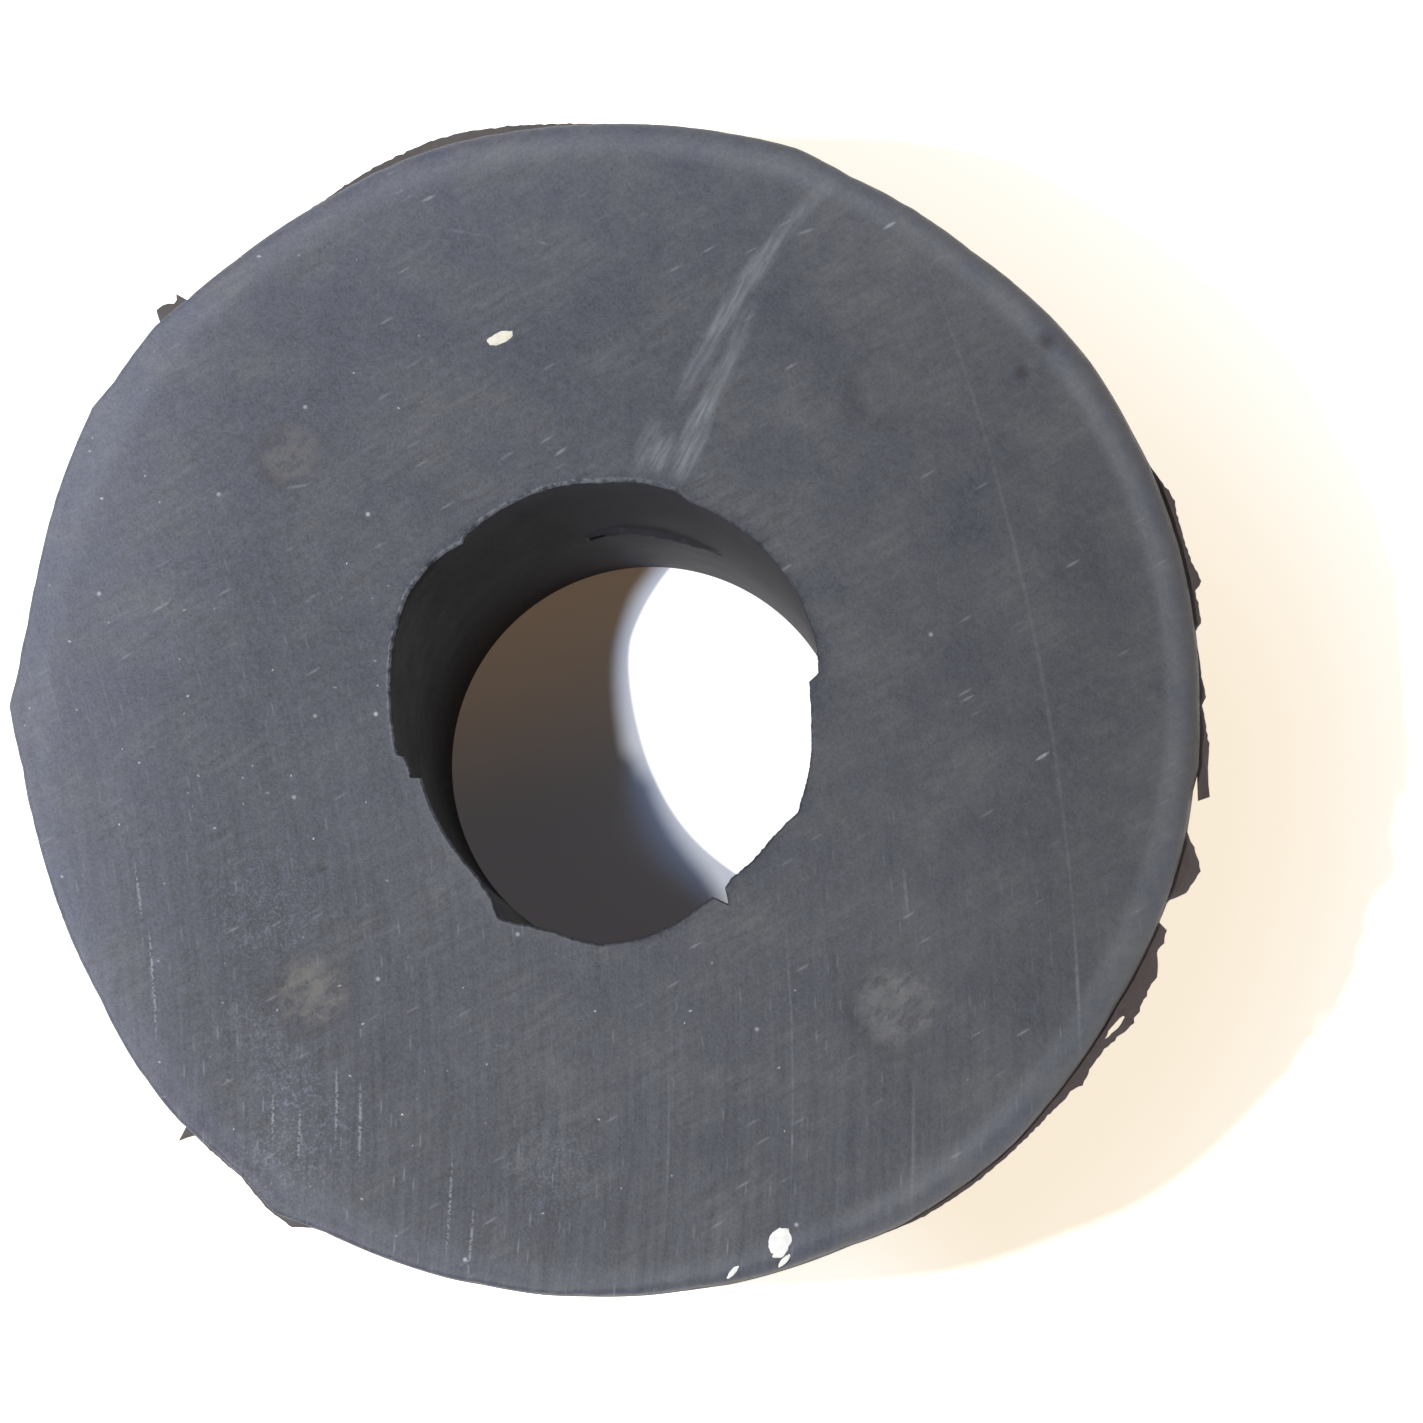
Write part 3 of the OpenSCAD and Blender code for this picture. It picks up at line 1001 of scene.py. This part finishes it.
def makeRubber():
    material = bpy.data.materials.new("bloomedRubber")
    bench = RubberBench(material)
    face = bench.faceShare()
    upperEnd = bench.gated(bench.marked(bench.bloomAndPaintedLight()))
    colour = bench.lipWearAndSheen(bench.blend(face, bench.cleanBlack(), upperEnd))
    uneven = (bench.patches + bench.fine - 1) * rubber["roughnessSwing"]
    gloss = rubber["roughness"] + uneven + (1 - face) * bench.nearBore * rubber["boreRougher"]
    bump = {"Strength": rubber["bumpStrength"], "Distance": rubber["bumpDepth"] * mm, "Height": bench.fine}
    normal = bench.add("ShaderNodeBump", None, bump)
    sockets = {"Base Color": colour, "Roughness": gloss, "Normal": normal}
    sockets["Specular IOR Level"] = rubber["specular"]
    shader = bench.add("ShaderNodeBsdfPrincipled", None, sockets)
    bench.add("ShaderNodeOutputMaterial", None, {"Surface": shader})
    return material


crumbLooks = {
    "white": (0.94, 0.94, 0.93),
    "yellowish": (0.84, 0.81, 0.7),
    "yellowSide": (-1, 1),  # y between which white turns yellowish
    "grain": (6, 3),
    "tone": (0.8, 0.4),  # at least, and more with the grain
    "roughness": 0.85,
}


def makeChalk():
    material = bpy.data.materials.new("chalkCrumb")
    bench = Bench(material)
    point = bench.millimetres()
    y = bench.split(point)[1]
    colour = bench.between(y.rise(*crumbLooks["yellowSide"]), crumbLooks["white"], crumbLooks["yellowish"])
    least, more = crumbLooks["tone"]
    colour = bench.shade(colour, bench.cloud(point, *crumbLooks["grain"]) * more + least)
    sockets = {"Base Color": colour, "Roughness": crumbLooks["roughness"]}
    shader = bench.add("ShaderNodeBsdfPrincipled", None, sockets)
    bench.add("ShaderNodeOutputMaterial", None, {"Surface": shader})
    return material


mouldedRing.data.materials.append(makeRubber())
chalkMaterial = makeChalk()
for crumb in chalkCrumbs:
    crumb.data.materials.append(chalkMaterial)
print("rubber and chalk mixed")

studio = {
    "floorSize": 1200,
    "floorDrop": 0.02,
    "floorColour": (0.95, 0.95, 0.95),
    # painted shade: the floor inside the bore is a darker grey
    "boreFloor": (0.5, 0.5, 0.5),
    "outside": (8, 12),  # radii between which the floor in the bore gives way to the floor around
    "shadeGlow": (0.85, 0.74, 0.58),  # what the eye sees of the floor in the ring's shadow
    "farGlow": (0.95, 0.91, 0.84),
    "farSquares": (230, 560),  # squares of the radii between which the shadow ends
    "farBack": (0, 16, 0.5),  # it is weaker at the back: from y, to y, how much
    "farFront": (-11, -15),  # and ends sooner at the front left: y, x
    "farLeft": (10, 5),
    # painted pool of light where the lamp's beam lands in the bore, with a painted bluish rim
    "beamGlow": (0.75, 0.75, 0.75),
    "beamGrow": 0.1,
    "beamSoft": (0.08, 0.04),  # inwards, outwards
    "beamRim": (0.1, 0.13, 0.21),
    "rimWidth": 0.6,
    "rimWider": (1, -3, 0.9),  # from y, to y, how much
    "tongueShade": (1.2, -2.2, 6.5, 2.5, -66, 0.62),  # dent in the beam: x, y, length, width, turn, depth
    # painted shade on the floor in the bore, browner to one side
    "boreGlow": (0.043, 0.04, 0.042),
    "boreEarth": (0.1, 0.067, 0.043),
    "earthSide": (-0.3, 1, 0),  # a plane that rises to the earthy side
    "earthRange": (-1, 6),
    "lampPlace": (-64, -21, 216),
    "lampAcross": 8,
    "lampPower": 0.42,
    "skyTop": 0.05,
    "skySide": 0.8,
    "skyHeights": (0.1, 0.6),
}


def seenRays(bench):  # 1 for what is looked at, straight, in a mirror or through glass
    camera = bench.add("ShaderNodeLightPath", output="Is Camera Ray")
    outputs = camera.socket.node.outputs
    others = [Wire(bench, outputs[name]) for name in ("Is Glossy Ray", "Is Transmission Ray")]
    return (camera + others[0] + others[1]).limit()


def boreGlow(bench, onFloor, y):  # the lamp's beam through the bore, where it lands, in the ring's shade
    # painted light and shade: a painted pool where the beam lands, a painted bluish rim, and painted shade
    # around it, browner to one side
    lampX, lampY, lampZ = studio["lampPlace"]
    spread = lampZ / (lampZ - ringTop)
    reach = boreRadius * spread + studio["beamGrow"]
    dent = bench.mark(onFloor, *studio["tongueShade"])
    away = bench.away(onFloor, lampX * (1 - spread), lampY * (1 - spread)) + dent
    inward, outward = studio["beamSoft"]
    rimEnd = y.rise(*studio["rimWider"]) + (reach + studio["rimWidth"])
    earth = bench.level(onFloor, studio["earthSide"]).rise(*studio["earthRange"])
    glow = bench.between(earth, studio["boreGlow"], studio["boreEarth"])
    glow = bench.tint(away.rise(rimEnd, reach), glow, studio["beamRim"])
    return bench.tint(away.rise(reach + outward, reach - inward), glow, studio["beamGlow"])


def makeFloor():
    material = bpy.data.materials.new("paleFloor")
    bench = Bench(material)
    x, y, _ = bench.split(bench.millimetres())
    onFloor = bench.join(x, y, 1)
    square = x * x + y * y
    outside = square.rise(*(radius ** 2 for radius in studio["outside"]))
    front = y.rise(*studio["farFront"]) * x.rise(*studio["farLeft"])
    far = (square.rise(*studio["farSquares"]) + y.rise(*studio["farBack"]) + front).limit()
    around = bench.between(far, studio["shadeGlow"], studio["farGlow"])
    glow = bench.blend(outside, boreGlow(bench, onFloor, y), around)
    matt = bench.between(outside, studio["boreFloor"], studio["floorColour"])
    plain = bench.add("ShaderNodeBsdfDiffuse", None, {"Color": matt})
    lit = bench.add("ShaderNodeEmission", None, {"Color": glow, "Strength": seenRays(bench)})
    shader = bench.add("ShaderNodeAddShader", None, {0: plain, 1: lit})
    bench.add("ShaderNodeOutputMaterial", None, {"Surface": shader})
    material.cycles.emission_sampling = "NONE"  # its glow is only there to be seen
    return material


def addFloor():
    bpy.ops.object.select_all(action="DESELECT")
    place = (0, 0, -studio["floorDrop"] * mm)
    bpy.ops.mesh.primitive_plane_add(size=studio["floorSize"] * mm, location=place)
    floor = bpy.context.object
    floor.name = "floor"
    floor.data.materials.append(makeFloor())


def addLamp():
    place = Vector(studio["lampPlace"])
    bpy.ops.object.light_add(type="AREA", location=place * mm)
    lamp = bpy.context.object
    lamp.name = "keyLamp"
    lamp.data.shape = "DISK"
    lamp.data.size = studio["lampAcross"] * mm
    lamp.data.energy = studio["lampPower"]
    lamp.rotation_euler = (place - Vector((0, 0, ringTop))).to_track_quat("Z", "Y").to_euler()


def addSky():
    scene = bpy.context.scene
    scene.world = bpy.data.worlds.new("studioSky")
    bench = Bench(scene.world)
    upward = bench.split(bench.add("ShaderNodeTexCoord", output="Generated"))[2]
    level = upward.rise(*studio["skyHeights"], studio["skyTop"], studio["skySide"])
    seen = bench.add("ShaderNodeLightPath", output="Is Camera Ray")
    strength = level + (1 - level) * seen
    sky = bench.add("ShaderNodeBackground", None, {"Color": (1, 1, 1, 1), "Strength": strength})
    bench.add("ShaderNodeOutputWorld", None, {"Surface": sky})


sight = {
    "target": (2.62, -0.14, 16),
    "distance": 167,
    "tilt": 6.8,  # degrees off straight down
    "turn": -60,
    "focalPixels": 6606,
    "framePixels": 1423,
    "sensor": 36,
    "nearest": 10,
}


def addCamera():
    slope = math.tan(math.radians(sight["tilt"]))
    turn = math.radians(sight["turn"])
    back = Vector((slope * math.cos(turn), slope * math.sin(turn), 1)).normalized()
    right = (Vector((1, 0, 0)) - back * back.x).normalized()
    up = back.cross(right)
    bpy.ops.object.camera_add()
    camera = bpy.context.object
    stand = (Vector(sight["target"]) + back * sight["distance"]) * mm
    camera.matrix_world = Matrix.Translation(stand) @ Matrix((right, up, back)).transposed().to_4x4()
    camera.data.sensor_width = sight["sensor"]
    camera.data.lens = sight["focalPixels"] / sight["framePixels"] * sight["sensor"]
    camera.data.clip_start = sight["nearest"] * mm
    bpy.context.scene.camera = camera


addFloor()
addLamp()
addSky()
addCamera()
bpy.context.scene.view_settings.view_transform = "Standard"
print("floor, lamp, sky and camera placed")
